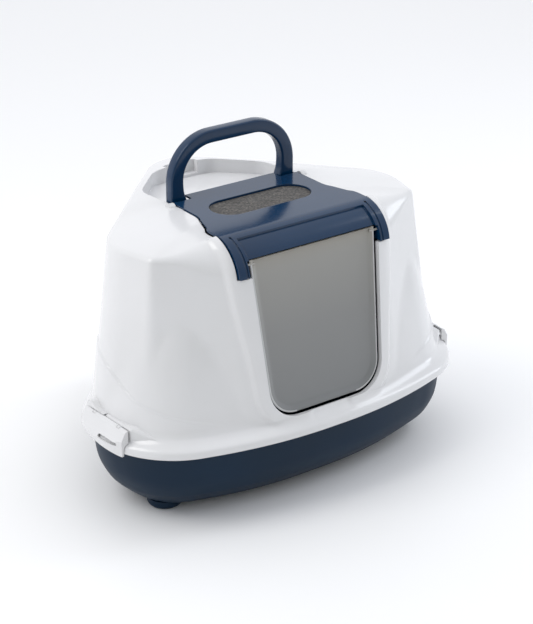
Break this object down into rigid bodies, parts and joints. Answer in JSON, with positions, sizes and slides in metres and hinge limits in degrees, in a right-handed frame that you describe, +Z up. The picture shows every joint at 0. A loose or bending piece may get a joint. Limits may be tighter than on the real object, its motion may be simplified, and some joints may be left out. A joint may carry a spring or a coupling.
{
  "type": "cat litter box with hood",
  "caption": "Corner cat litter box: deep pan under a hood with a flip lid, a see-through swing door, a carry handle and side clips.",
  "frame": {"origin": "on the floor, under the middle of the rim's box", "axes": "+X to the right-hand vertex, -Y to the doorway, +Z up"},
  "size_m": [0.5672, 0.4502, 0.455],
  "materials": {
    "pan": "satin navy moulding",
    "foot_left": "satin navy moulding",
    "foot_right": "satin navy moulding",
    "foot_back": "satin navy moulding",
    "hood": "glossy white moulding",
    "flip_lid": "glossy navy moulding",
    "handle": "glossy navy moulding",
    "swing_door": "smoke-grey clear sheet",
    "filter_pad": "carbon felt",
    "filter_holder": "satin navy moulding",
    "clip_left": "glossy white moulding",
    "clip_right": "glossy white moulding"
  },
  "bodies": {
    "pan": {"pan": "pan", "foot_left": "foot_left", "foot_right": "foot_right", "foot_back": "foot_back"},
    "hood": {"hood": "hood"},
    "lid": {"flip_lid": "flip_lid", "filter_pad": "filter_pad", "filter_holder": "filter_holder"},
    "handle": {"handle": "handle"},
    "door": {"swing_door": "swing_door"},
    "left_clip": {"clip_left": "clip_left"},
    "right_clip": {"clip_right": "clip_right"}
  },
  "joints": [
    {"name": "hood_lift", "type": "slide", "parent": "pan", "child": "hood", "axis": [0, 0, 1], "range_m": [0, 0.06]},
    {"name": "lid_hinge", "type": "hinge", "parent": "hood", "child": "lid", "pos_m": [0, 0.002, 0.363], "axis": [-1, 0, 0], "range_deg": [0, 85]},
    {"name": "handle_fold", "type": "hinge", "parent": "hood", "child": "handle", "pos_m": [0, 0.0175, 0.353], "axis": [-1, 0, 0], "range_deg": [0, 90]},
    {"name": "door_swing", "type": "hinge", "parent": "lid", "child": "door", "pos_m": [0, -0.1663, 0.33922], "axis": [1, 0, 0], "range_deg": [-60, 60]},
    {"name": "left_clip_hinge", "type": "hinge", "parent": "hood", "child": "left_clip", "pos_m": [-0.26485, -0.08216, 0.1336], "axis": [-0.0523, 0.9986, 0], "range_deg": [0, 90]},
    {"name": "right_clip_hinge", "type": "hinge", "parent": "hood", "child": "right_clip", "pos_m": [0.26485, -0.08216, 0.1336], "axis": [-0.0523, -0.9986, 0], "range_deg": [0, 90]}
  ]
}
